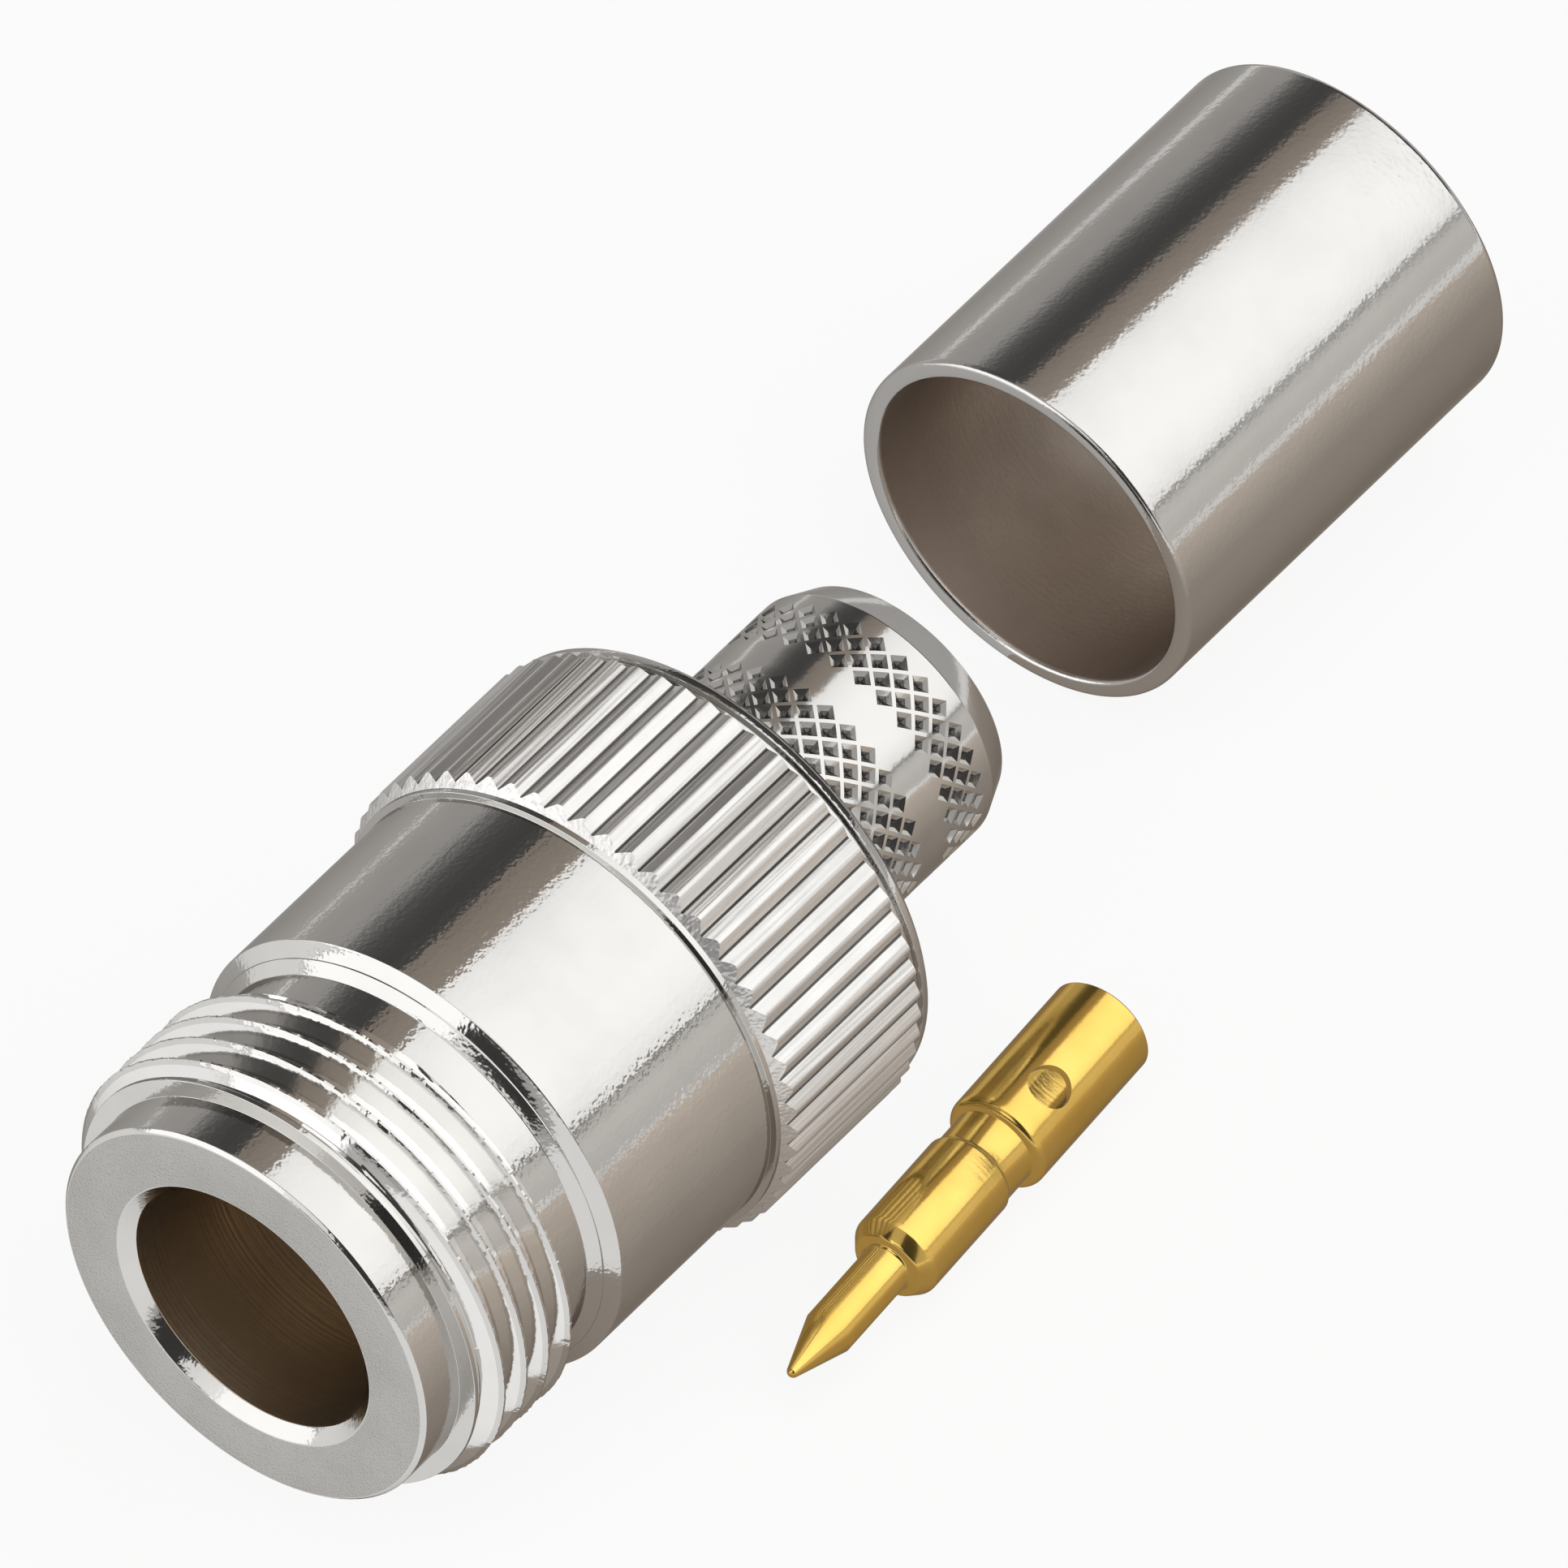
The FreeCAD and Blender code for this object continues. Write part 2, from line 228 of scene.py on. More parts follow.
def thread_strip(angles):
    """Rows that follow the helix from the chamfer to the run-out, held at both ends."""
    crest = THREAD_CREST / 2.0
    root = THREAD_PITCH - crest - thread_flank
    offsets = [-crest, 0.0, crest]
    offsets += [crest + thread_flank * step / 4.0 for step in range(1, 5)]
    offsets += [(crest + thread_flank + root) / 2.0]
    offsets += [root + thread_flank * step / 4.0 for step in range(0, 4)]
    turns = range(-2, int((RELIEF_START - LEAD_END) / THREAD_PITCH) + 3)
    columns = []
    for angle in angles:
        lift = THREAD_FIRST_CREST - THREAD_PITCH * angle / (2.0 * math.pi)
        rows = [lift + THREAD_PITCH * turn + offset for turn in turns for offset in offsets]
        rows = [min(max(row, LEAD_END), RELIEF_START) for row in rows]
        columns.append(sorted(rows + [THREAD_START, THREAD_END]))
    strip = []
    for stations in zip(*columns):
        radii = [thread_radius(y, a) for y, a in zip(stations, angles)]
        strip.append(ring(radii, list(stations), angles))
    return strip


nose_outline = [
    (SOCKET_R, SOCKET_DEPTH),
    (SOCKET_R, MOUTH_CHAMFER),
    (SOCKET_R + MOUTH_CHAMFER, 0.0),
    (NOSE_R - NOSE_EDGE, 0.0),
    (NOSE_R, NOSE_EDGE),
    (NOSE_R, NOSE_LENGTH),
    (LEAD_R, NOSE_LENGTH),
    (LEAD_R, LEAD_END),
]
barrel_outline = [
    (RELIEF_R, RELIEF_START),
    (RELIEF_R, RELIEF_END),
    (STEP_R, STEP_START),
    (STEP_R, STEP_END),
    (BARREL_R - BARREL_EDGE, SHOULDER_END),
    (BARREL_R, BARREL_START),
    (BARREL_R, COLLAR_START),
    (COLLAR_RING_R, COLLAR_START),
    (COLLAR_RING_R, COLLAR_RING_END),
]
rear_outline = [
    (REAR_LINE_R, TEETH_END + REAR_LINE_BEVEL),
    (REAR_LINE_R, RIM_START - REAR_LINE_BEVEL),
    (RIM_R + RIM_TAPER, RIM_START),
    (RIM_R, SHELL_END - RIM_BEVEL),
    (RIM_R - RIM_BEVEL, SHELL_END),
    (STEM_SEAT_R + STEM_SEAT_CHAMFER, SHELL_END),
    (STEM_SEAT_R, SHELL_END - STEM_SEAT_CHAMFER),
    (STEM_SEAT_R, BEAD_END),
    (BEAD_R, BEAD_END),
    (BEAD_R, BEAD_START),
    (LINE_R, BEAD_START),
    (LINE_R, SOCKET_DEPTH),
    (SOCKET_R, SOCKET_DEPTH),
]


def tooth_ends(start, length, low):
    """Where a cone that starts at that station and radius meets the outline of each tooth."""
    return [start + length * (r - low) / (COLLAR_R - low) for r in tooth_r]


teeth_front = tooth_ends(COLLAR_RING_END, TEETH_START - COLLAR_RING_END, COLLAR_RING_R)
teeth_back = tooth_ends(TEETH_END + REAR_LINE_BEVEL, -REAR_LINE_BEVEL, REAR_LINE_R)
shell = skin(
    "shell_turned",
    [
        turned(nose_outline, shell_angles, EDGE_ROUND),
        thread_strip(shell_angles),
        turned(barrel_outline, shell_angles, EDGE_ROUND),
        [
            ring(COLLAR_RING_R, COLLAR_RING_END, shell_angles),
            ring(tooth_r, teeth_front, shell_angles),
            ring(tooth_r, teeth_back, shell_angles),
            ring(REAR_LINE_R, TEETH_END + REAR_LINE_BEVEL, shell_angles),
        ],
        turned(rear_outline, shell_angles, EDGE_ROUND),
    ],
    sharp=28.0,
)

# The plating's finish, for every turned and plated piece: faint rings left by the tool, streaks
# along the piece, soft clouds in the tone and a shallow ripple that breaks the edge of a reflection
TOOL_RING_SCALE = 9000.0
RIPPLE_SCALE = 5500.0
STREAK_SCALE = 5200.0
STREAK_SQUEEZE = 0.03
CLOUD_SCALE = 420.0
CLOUD_DULLING = 0.08

plated = bpy.data.node_groups.new("plated_finish", "ShaderNodeTree")
for name, kind, value in [
    ("Place", "NodeSocketVector", None),
    ("Tone", "NodeSocketColor", (0.6, 0.6, 0.6, 1.0)),
    ("Cloud tone", "NodeSocketColor", (0.5, 0.5, 0.5, 1.0)),
    ("Cloud share", "NodeSocketFloat", 0.3),
    ("Ripple", "NodeSocketFloat", 0.5),
    ("Ripple scale", "NodeSocketFloat", RIPPLE_SCALE),
    ("Tool rings", "NodeSocketFloat", 0.5),
    ("Streaks", "NodeSocketFloat", 0.0),
    ("Gloss", "NodeSocketFloat", 0.10),
]:
    socket = plated.interface.new_socket(name, in_out="INPUT", socket_type=kind)
    if value is not None:
        socket.default_value = value
for name, kind in [
    ("Color", "NodeSocketColor"),
    ("Roughness", "NodeSocketFloat"),
    ("Height", "NodeSocketFloat"),
]:
    plated.interface.new_socket(name, in_out="OUTPUT", socket_type=kind)


def add(tree, kind, inputs=None, **settings):
    """A node with its settings made and its inputs set or linked, each named or numbered."""
    node = tree.nodes.new(kind)
    for setting, value in settings.items():
        setattr(node, setting, value)
    for socket, value in (inputs or {}).items():
        if isinstance(value, bpy.types.NodeSocket):
            tree.links.new(value, node.inputs[socket])
        else:
            node.inputs[socket].default_value = value
    return node


given = add(plated, "NodeGroupInput")
put_out = add(plated, "NodeGroupOutput")
apart = add(plated, "ShaderNodeSeparateXYZ", {0: given.outputs["Place"]})
squares = add(
    plated,
    "ShaderNodeMath",
    {0: apart.outputs["X"], 1: apart.outputs["X"]},
    operation="MULTIPLY",
)
squares = add(
    plated,
    "ShaderNodeMath",
    {0: apart.outputs["Z"], 1: apart.outputs["Z"], 2: squares.outputs[0]},
    operation="MULTIPLY_ADD",
)
out_from_axis = add(plated, "ShaderNodeMath", {0: squares.outputs[0]}, operation="SQRT")
along = add(plated, "ShaderNodeCombineXYZ", {0: out_from_axis.outputs[0], 1: apart.outputs["Y"]})
rings = add(
    plated,
    "ShaderNodeTexNoise",
    {"Vector": along.outputs[0], "Scale": TOOL_RING_SCALE, "Detail": 0.0},
)
ripples = add(
    plated,
    "ShaderNodeTexNoise",
    {
        "Vector": given.outputs["Place"],
        "Scale": given.outputs["Ripple scale"],
        "Detail": 1.0,
        "Roughness": 0.6,
    },
)
drawn_out = add(
    plated,
    "ShaderNodeVectorMath",
    {0: given.outputs["Place"], 1: (1.0, STREAK_SQUEEZE, 1.0)},
    operation="MULTIPLY",
)
streaks = add(
    plated,
    "ShaderNodeTexNoise",
    {"Vector": drawn_out.outputs[0], "Scale": STREAK_SCALE, "Detail": 1.0, "Roughness": 0.6},
)
clouds = add(
    plated,
    "ShaderNodeTexNoise",
    {"Vector": given.outputs["Place"], "Scale": CLOUD_SCALE, "Detail": 2.0, "Roughness": 0.6},
)
cloud_mask = add(
    plated,
    "ShaderNodeMapRange",
    {0: clouds.outputs["Fac"], 1: 0.40, 2: 0.65, 3: 0.0, 4: 1.0},
)
cloud_amount = add(
    plated,
    "ShaderNodeMath",
    {0: cloud_mask.outputs[0], 1: given.outputs["Cloud share"]},
    operation="MULTIPLY",
)
tone = add(
    plated,
    "ShaderNodeMix",
    {0: cloud_amount.outputs[0], 6: given.outputs["Tone"], 7: given.outputs["Cloud tone"]},
    data_type="RGBA",
)
gloss = add(
    plated,
    "ShaderNodeMath",
    {0: cloud_amount.outputs[0], 1: CLOUD_DULLING, 2: given.outputs["Gloss"]},
    operation="MULTIPLY_ADD",
)
ripple_height = add(
    plated,
    "ShaderNodeMath",
    {0: ripples.outputs["Fac"], 1: given.outputs["Ripple"]},
    operation="MULTIPLY",
)
height = add(
    plated,
    "ShaderNodeMath",
    {0: rings.outputs["Fac"], 1: given.outputs["Tool rings"], 2: ripple_height.outputs[0]},
    operation="MULTIPLY_ADD",
)
height = add(
    plated,
    "ShaderNodeMath",
    {0: streaks.outputs["Fac"], 1: given.outputs["Streaks"], 2: height.outputs[0]},
    operation="MULTIPLY_ADD",
)
plated.links.new(tone.outputs[2], put_out.inputs["Color"])
plated.links.new(gloss.outputs[0], put_out.inputs["Roughness"])
plated.links.new(height.outputs[0], put_out.inputs["Height"])


def plated_metal(name, place=(0.0, 0.0, 0.0), turn=0.0, height=0.000004, **finish):
    """A plated metal whose tool rings go round the axis through place, turned about +Z."""
    material = bpy.data.materials.new(name)
    material.use_nodes = True
    tree = material.node_tree
    shader = tree.nodes["Principled BSDF"]
    shader.inputs["Metallic"].default_value = 1.0
    shader.inputs["Specular Tint"].default_value = (0.6, 0.58, 0.56, 1.0)
    where = add(tree, "ShaderNodeTexCoord")
    local = add(
        tree,
        "ShaderNodeMapping",
        {"Vector": where.outputs["Object"], "Location": place, "Rotation": (0.0, 0.0, turn)},
        vector_type="TEXTURE",
    )
    finish_node = add(tree, "ShaderNodeGroup", node_tree=plated)
    tree.links.new(local.outputs[0], finish_node.inputs["Place"])
    for socket, value in finish.items():
        finish_node.inputs[socket.replace("_", " ")].default_value = value
    bump = add(tree, "ShaderNodeBump", {"Height": finish_node.outputs["Height"], "Distance": height})
    tree.links.new(finish_node.outputs["Color"], shader.inputs["Base Color"])
    tree.links.new(finish_node.outputs["Roughness"], shader.inputs["Roughness"])
    tree.links.new(bump.outputs["Normal"], shader.inputs["Normal"])
    return material


def refinish(mesh, material, wanted):
    """Give a second finish to the faces whose middle and normal, in millimetres, are wanted."""
    mesh.materials.append(material)
    for face in mesh.polygons:
        if wanted(face.center / MM, face.normal):
            face.material_index = len(mesh.materials) - 1


nickel = plated_metal(
    "bright_nickel",
    Tone=(0.66, 0.652, 0.635, 1.0),
    Cloud_tone=(0.59, 0.58, 0.56, 1.0),
    Cloud_share=0.35,
    Ripple=1.6,
    Tool_rings=0.15,
    Gloss=0.08,
)
# The nose face: a fine satin grain, and a darker copy of the plating, painted shade on the face.
satin_shaded_nickel = plated_metal(
    "satin_nose_painted_shade",
    height=0.000012,
    Tone=(0.50, 0.49, 0.47, 1.0),
    Cloud_tone=(0.45, 0.435, 0.415, 1.0),
    Cloud_share=0.5,
    Ripple=3.0,
    Ripple_scale=12000.0,
    Tool_rings=0.3,
    Gloss=0.30,
)
dull_bore = plated_metal(
    "dull_bore",
    height=0.000008,
    Tone=(0.70, 0.60, 0.48, 1.0),
    Cloud_tone=(0.56, 0.47, 0.36, 1.0),
    Cloud_share=0.5,
    Ripple=0.3,
    Tool_rings=1.0,
    Gloss=0.30,
)
# The rolled collar: streaked and rougher than the barrel, and a lighter copy of the plating, painted
# brighter than the barrel.
rolled_lit_nickel = plated_metal(
    "rolled_collar_painted_bright",
    Tone=(0.86, 0.852, 0.836, 1.0),
    Cloud_tone=(0.76, 0.75, 0.735, 1.0),
    Cloud_share=0.4,
    Ripple=0.6,
    Tool_rings=0.0,
    Streaks=9.0,
    Gloss=0.36,
)
shell.data.materials.append(nickel)
# The thread's flanks get a lighter copy of the plating, painted brighter than the barrel to stand in for
# the lamps they show by double reflection.
thread_lit_nickel = plated_metal(
    "cut_thread_painted_bright",
    Tone=(0.82, 0.812, 0.795, 1.0),
    Cloud_tone=(0.74, 0.73, 0.71, 1.0),
    Cloud_share=0.35,
    Ripple=0.6,
    Tool_rings=0.15,
    Gloss=0.08,
)


def off_axis(at):
    return math.hypot(at.x, at.z)


def on_thread(at, out):
    return LEAD_END < at.y < RELIEF_START and RELIEF_R < off_axis(at) < THREAD_R - CREST_PLAIN


def on_nose_face(at, out):
    return at.y < 0.001 and out.y < -0.9


def in_bore(at, out):
    return at.y > MOUTH_CHAMFER and off_axis(at) < SOCKET_R + 0.01


refinish(shell.data, thread_lit_nickel, on_thread)
refinish(shell.data, satin_shaded_nickel, on_nose_face)
refinish(shell.data, dull_bore, in_bore)
# The bottoms of the collar's grooves get a near-black copy of the plating: painted shade in the grooves.
groove_shade_nickel = plated_metal(
    "groove_bottoms_painted_shade",
    Tone=(0.14, 0.135, 0.13, 1.0),
    Cloud_tone=(0.10, 0.097, 0.093, 1.0),
    Cloud_share=0.5,
    Ripple=0.5,
    Tool_rings=0.0,
    Streaks=4.0,
    Gloss=0.30,
)


def on_collar(at, out):
    return COLLAR_RING_END < at.y < TEETH_END + REAR_LINE_BEVEL and abs(out.y) < 0.95


# The mask for the painted shade: faces low in the collar's grooves.
def in_groove_shade(at, out):
    low = off_axis(at) < COLLAR_R - GROOVE_FLOOR * GROOVE_DEPTH
    return on_collar(at, out) and abs(out.y) < 0.2 and low


refinish(shell.data, rolled_lit_nickel, on_collar)
refinish(shell.data, groove_shade_nickel, in_groove_shade)
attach(shell, "root")
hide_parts("connector_shell")

# The crimp stem is a turned tube with a diamond knurl rolled in two bands to grip the cable's
# braid. Its flange is pressed into the back of the shell, and its end tapers to slip under the
# braid.

STEM_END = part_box("crimp_stem")[1][1] / MM
PRESS_CLEARANCE = 0.01
FLANGE_EDGE = 0.15
FLANGE_END = SHELL_END - 0.40
STEM_R = 4.64
STEM_BORE_R = 3.80
STEM_END_R = 4.18
STEM_MOUTH_CHAMFER = 0.15
BAND_R = STEM_R + 0.005
FIRST_BAND_START = SHELL_END + 0.30
FIRST_BAND_END = FIRST_BAND_START + 4.10
SECOND_BAND_START = FIRST_BAND_END + 1.03
SECOND_BAND_END = SECOND_BAND_START + 1.79
STEM_RIM_END = SECOND_BAND_END + 0.56
KNURL_PITS_ROUND = 32
KNURL_TURN = math.radians(1.5)
KNURL_ROW = 0.427
KNURL_DEPTH = 0.26
KNURL_SPLITS = 5
PIT_SHARE = 0.80
PIT_FLOOR = 0.55
BAND_MARGIN = 0.10
BAND_LEAD = 0.25
FIRST_PITS_Y = FIRST_BAND_START + 0.66
FIRST_PIT_ROWS = 8
SECOND_PITS_Y = SECOND_BAND_START + 0.29
SECOND_PIT_ROWS = 4

half_cells = 2 * KNURL_PITS_ROUND
stem_angles = []
for index in range(half_cells * KNURL_SPLITS):
    stem_angles.append(KNURL_TURN + math.pi * index / KNURL_SPLITS / KNURL_PITS_ROUND)


def pit_offset(row_place, column_place):
    """Steps to the nearest pit's middle, along and around, in half cells."""
    best = None
    for row in (math.floor(row_place), math.ceil(row_place)):
        along = row_place - row
        around = (column_place - row + 1.0) % 2.0 - 1.0
        if best is None or abs(along) + abs(around) < abs(best[0]) + abs(best[1]):
            best = (along, around)
    return best


def knurl_strip(start, first_pits, first_row, rows):
    """One band: rows of pits, each row turned by half a pit from the last."""
    strip = [ring(STEM_R, start, stem_angles)]
    for step in range(-KNURL_SPLITS, rows * KNURL_SPLITS + 1):
        row_place = step / KNURL_SPLITS
        radii = []
        for column in range(len(stem_angles)):
            along, around = pit_offset(row_place + first_row, column / KNURL_SPLITS)
            away = abs(along) + abs(around)
            row = round(row_place - along)
            if row < 0 or row >= rows:
                away = PIT_SHARE
            radii.append(BAND_R - KNURL_DEPTH * max(0.0, 1.0 - away / PIT_SHARE))
        strip.append(ring(radii, first_pits + KNURL_ROW * row_place, stem_angles))
    strip.append(ring(STEM_R, first_pits + KNURL_ROW * rows + BAND_MARGIN, stem_angles))
    return strip


flange = STEM_SEAT_R - PRESS_CLEARANCE
stem_front = [
    (STEM_BORE_R, BEAD_END),
    (flange - FLANGE_EDGE, BEAD_END),
    (flange, BEAD_END + FLANGE_EDGE),
    (flange, FLANGE_END),
    (STEM_R, FLANGE_END),
    (STEM_R, FIRST_BAND_START),
]
stem_rear = [
    (STEM_R, SECOND_PITS_Y + KNURL_ROW * SECOND_PIT_ROWS + BAND_MARGIN),
    (STEM_R, STEM_RIM_END),
    (STEM_END_R, STEM_END),
    (STEM_BORE_R + STEM_MOUTH_CHAMFER, STEM_END),
    (STEM_BORE_R, STEM_END - STEM_MOUTH_CHAMFER),
    (STEM_BORE_R, BEAD_END),
]
stem_gap = [
    (STEM_R, FIRST_PITS_Y + KNURL_ROW * FIRST_PIT_ROWS + BAND_MARGIN),
    (STEM_R, SECOND_BAND_START - BAND_LEAD),
]
stem = skin(
    "stem_knurled",
    [
        turned(stem_front, stem_angles, EDGE_ROUND),
        knurl_strip(FIRST_BAND_START, FIRST_PITS_Y, 0, FIRST_PIT_ROWS),
        turned(stem_gap, stem_angles, EDGE_ROUND),
        knurl_strip(SECOND_BAND_START - BAND_LEAD, SECOND_PITS_Y, 1, SECOND_PIT_ROWS),
        turned(stem_rear, stem_angles, EDGE_ROUND),
    ],
    sharp=16.0,
    folded=True,
)
stem.data.materials.append(
    plated_metal(
        "stem_nickel",
        Tone=(0.66, 0.652, 0.635, 1.0),
        Cloud_tone=(0.59, 0.58, 0.56, 1.0),
        Cloud_share=0.3,
        Ripple=0.5,
        Tool_rings=0.1,
        Gloss=0.10,
    )
)
# The deep parts of the knurl's pits get a dark copy of the plating: painted shade in the pits.
pit_shade_nickel = plated_metal(
    "pit_bottoms_painted_shade",
    Tone=(0.24, 0.235, 0.23, 1.0),
    Cloud_tone=(0.18, 0.175, 0.17, 1.0),
    Cloud_share=0.5,
    Ripple=0.5,
    Tool_rings=0.0,
    Gloss=0.22,
)


# The mask for the painted shade: faces deep in the pits of the knurl.
def in_pit_shade(at, out):
    outside = off_axis(at) > STEM_BORE_R + 0.3
    low = off_axis(at) < BAND_R - PIT_FLOOR * KNURL_DEPTH
    return SHELL_END < at.y < STEM_RIM_END and outside and low


refinish(stem.data, pit_shade_nickel, in_pit_shade)
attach(stem, "root")
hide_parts("crimp_stem")

# The insulator bead is turned from white fluoropolymer. It is trapped deep in the shell between
# a shoulder and the stem's flange, and holds the centre pin on the axis.

BEAD_CLEARANCE = 0.01
BEAD_HOLE_R = 1.51
BEAD_SEAT_R = 1.76
BEAD_SEAT_START = 14.50

bead_angles = [2.0 * math.pi * index / 128 for index in range(128)]
bead_outline = [
    (BEAD_HOLE_R, BEAD_START),
    (BEAD_R - BEAD_CLEARANCE, BEAD_START),
    (BEAD_R - BEAD_CLEARANCE, BEAD_END),
    (BEAD_SEAT_R, BEAD_END),
    (BEAD_SEAT_R, BEAD_SEAT_START),
    (BEAD_HOLE_R, BEAD_SEAT_START),
    (BEAD_HOLE_R, BEAD_START),
]
bead = skin("bead_white", [turned(bead_outline, bead_angles, 0.05)])
bead_plastic = bpy.data.materials.new("white_fluoropolymer")
bead_plastic.use_nodes = True
bead_tree = bead_plastic.node_tree
bead_shader = bead_tree.nodes["Principled BSDF"]
bead_where = add(bead_tree, "ShaderNodeTexCoord")
bead_grain = add(
    bead_tree,
    "ShaderNodeTexNoise",
    {"Vector": bead_where.outputs["Object"], "Scale": 2500.0, "Detail": 3.0},
)
bead_tone = add(
    bead_tree,
    "ShaderNodeMix",
    {0: bead_grain.outputs["Fac"], 6: (0.74, 0.73, 0.70, 1.0), 7: (0.82, 0.81, 0.79, 1.0)},
    data_type="RGBA",
)
bead_bump = add(bead_tree, "ShaderNodeBump", {"Height": bead_grain.outputs["Fac"], "Distance": 0.000004})
bead_tree.links.new(bead_tone.outputs[2], bead_shader.inputs["Base Color"])
bead_tree.links.new(bead_bump.outputs["Normal"], bead_shader.inputs["Normal"])
bead_shader.inputs["Roughness"].default_value = 0.45
bead_shader.inputs["Subsurface Weight"].default_value = 0.2
bead_shader.inputs["Subsurface Scale"].default_value = 0.001
bead.data.materials.append(bead_plastic)
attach(bead, "root")
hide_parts("insulator_bead")

# The centre pin is turned brass, gold plated: a pointed contact, a stop barrel, a neck and a
# crimp barrel drilled for the conductor, with a window that shows the conductor is home. It lies
# loose beside the shell, and the shell's reflections leave it out.

PIN_X = 10.63
PIN_Y = 12.92
PIN_TURN = math.radians(4.1)
PIN_TIP_R = 0.20
PIN_R = 0.81
PIN_CONE_LENGTH = 1.95
PIN_LENGTH = 5.10
PIN_FILLET = 0.16
PIN_FACE_R = 1.16
PIN_MID_START = 5.74
PIN_MID_R = 1.49
PIN_MID_END = 9.67
PIN_NECK_START = 9.77
PIN_NECK_R = 1.38
PIN_NECK_END = 11.05
CRIMP_R = 1.73
CRIMP_EDGE = 0.30
PIN_END = 16.98
CRIMP_REAR_EDGE = 0.10
CRIMP_BORE_R = 1.42
CRIMP_BORE_START = 11.98
DRILL_HALF_ANGLE = math.radians(59.0)
DRILL_POINT = CRIMP_BORE_START - CRIMP_BORE_R / math.tan(DRILL_HALF_ANGLE)
CRIMP_MOUTH_CHAMFER = 0.12
WINDOW_R = 0.72
WINDOW_Y = 12.93
WINDOW_ROLL = math.radians(28.0)
WINDOW_REACH = 3.4
PIN_EDGE_ROUND = 0.10

pin_angles = [2.0 * math.pi * index / 160 for index in range(160)]
pin_lean = math.atan2(PIN_R - PIN_TIP_R, PIN_CONE_LENGTH)
pin_tip = []
for step in range(7):
    angle = (math.pi / 2.0 - pin_lean) * step / 6.0
    pin_tip.append((PIN_TIP_R * math.sin(angle), PIN_TIP_R * (1.0 - math.cos(angle))))
pin_root = []
for step in range(5):
    angle = math.pi / 2.0 * step / 4.0
    centre_r, centre_y = PIN_R + PIN_FILLET, PIN_LENGTH
    pin_root.append((centre_r - PIN_FILLET * math.cos(angle), centre_y + PIN_FILLET * math.sin(angle)))
crimp_nose = []
for step in range(9):
    angle = math.pi / 2.0 * step / 8.0
    crimp_nose.append(
        (
            CRIMP_R - CRIMP_EDGE * (1.0 - math.sin(angle)),
            PIN_NECK_END + CRIMP_EDGE * (1.0 - math.cos(angle)),
        )
    )
crimp_rows = [
    (CRIMP_R, PIN_NECK_END + CRIMP_EDGE + (PIN_END - PIN_NECK_END - CRIMP_EDGE) * step / 40.0)
    for step in range(1, 40)
]
pin_strip = [ring(r, y, pin_angles) for r, y in pin_tip]
pin_strip += [ring(PIN_R, pin_tip[-1][1] + PIN_CONE_LENGTH, pin_angles)]
pin_strip += [ring(r, y, pin_angles) for r, y in pin_root]
pin_strip += turned(
    [
        (PIN_R + PIN_FILLET, PIN_LENGTH + PIN_FILLET),
        (PIN_FACE_R, PIN_LENGTH + PIN_FILLET),
        (PIN_MID_R, PIN_MID_START),
        (PIN_MID_R, PIN_MID_END),
        (PIN_NECK_R, PIN_NECK_START),
        (PIN_NECK_R, PIN_NECK_END),
        (CRIMP_R - CRIMP_EDGE, PIN_NECK_END),
    ],
    pin_angles,
    PIN_EDGE_ROUND,
)
pin_strip += [ring(r, y, pin_angles) for r, y in crimp_nose + crimp_rows]
pin_strip += turned(
    [
        (CRIMP_R, PIN_END - CRIMP_REAR_EDGE),
        (CRIMP_R - CRIMP_REAR_EDGE, PIN_END),
        (CRIMP_BORE_R + CRIMP_MOUTH_CHAMFER, PIN_END),
        (CRIMP_BORE_R, PIN_END - CRIMP_MOUTH_CHAMFER),
        (CRIMP_BORE_R, CRIMP_BORE_START),
        (0.0, DRILL_POINT),
    ],
    pin_angles,
    EDGE_ROUND,
)
pin = skin("pin_gold", [pin_strip])

window_angles = [2.0 * math.pi * index / 96 for index in range(96)]
window_outline = [(0.0, 0.0), (WINDOW_R, 0.0), (WINDOW_R, WINDOW_REACH), (0.0, WINDOW_REACH)]
window = skin(
    "window_cutter",
    [[ring(r, y, window_angles) for r, y in window_outline]],
)
stood_up = Matrix.Rotation(math.pi / 2.0, 4, "X")
window.data.transform(Matrix.Translation((0.0, WINDOW_Y * MM, 0.0)) @ stood_up)
window.data.transform(Matrix.Rotation(WINDOW_ROLL, 4, "Y"))
cut = pin.modifiers.new("window", "BOOLEAN")
cut.operation = "DIFFERENCE"
cut.object = window
cut.solver = "EXACT"
bpy.context.view_layer.update()
drilled = bpy.data.meshes.new_from_object(pin.evaluated_get(bpy.context.evaluated_depsgraph_get()))
pin.modifiers.clear()
pin.data = drilled
bpy.data.objects.remove(window)
pin.data.shade_smooth()
pin.data.set_sharp_from_angle(angle=math.radians(35.0))

pin_low = cad_low[2] / MM
pin_place = Vector((PIN_X, PIN_Y, pin_low + CRIMP_R)) * MM
pin.data.transform(Matrix.Translation(pin_place) @ Matrix.Rotation(PIN_TURN, 4, "Z"))
gold = plated_metal(
    "gold_plate",
    place=tuple(pin_place),
    turn=PIN_TURN,
    Tone=(0.95, 0.64, 0.17, 1.0),
    Cloud_tone=(0.84, 0.52, 0.10, 1.0),
    Cloud_share=0.4,
    Ripple=0.4,
    Tool_rings=0.3,
    Gloss=0.14,
)
pin.data.materials.clear()
pin.data.materials.append(gold)
pin.visible_glossy = False
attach(pin, "root")
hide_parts("centre_pin")

# The crimp ferrule is a drawn tube, nickel plated, with its ends rounded over. It slides on over
# the braid once the cable is on the stem, and lies beside the shell until then.

FERRULE_X = -2.30
FERRULE_Y = 41.06
FERRULE_R = 6.31
FERRULE_BORE_R = 5.68
FERRULE_LENGTH = 15.92
FERRULE_EDGE = 0.20

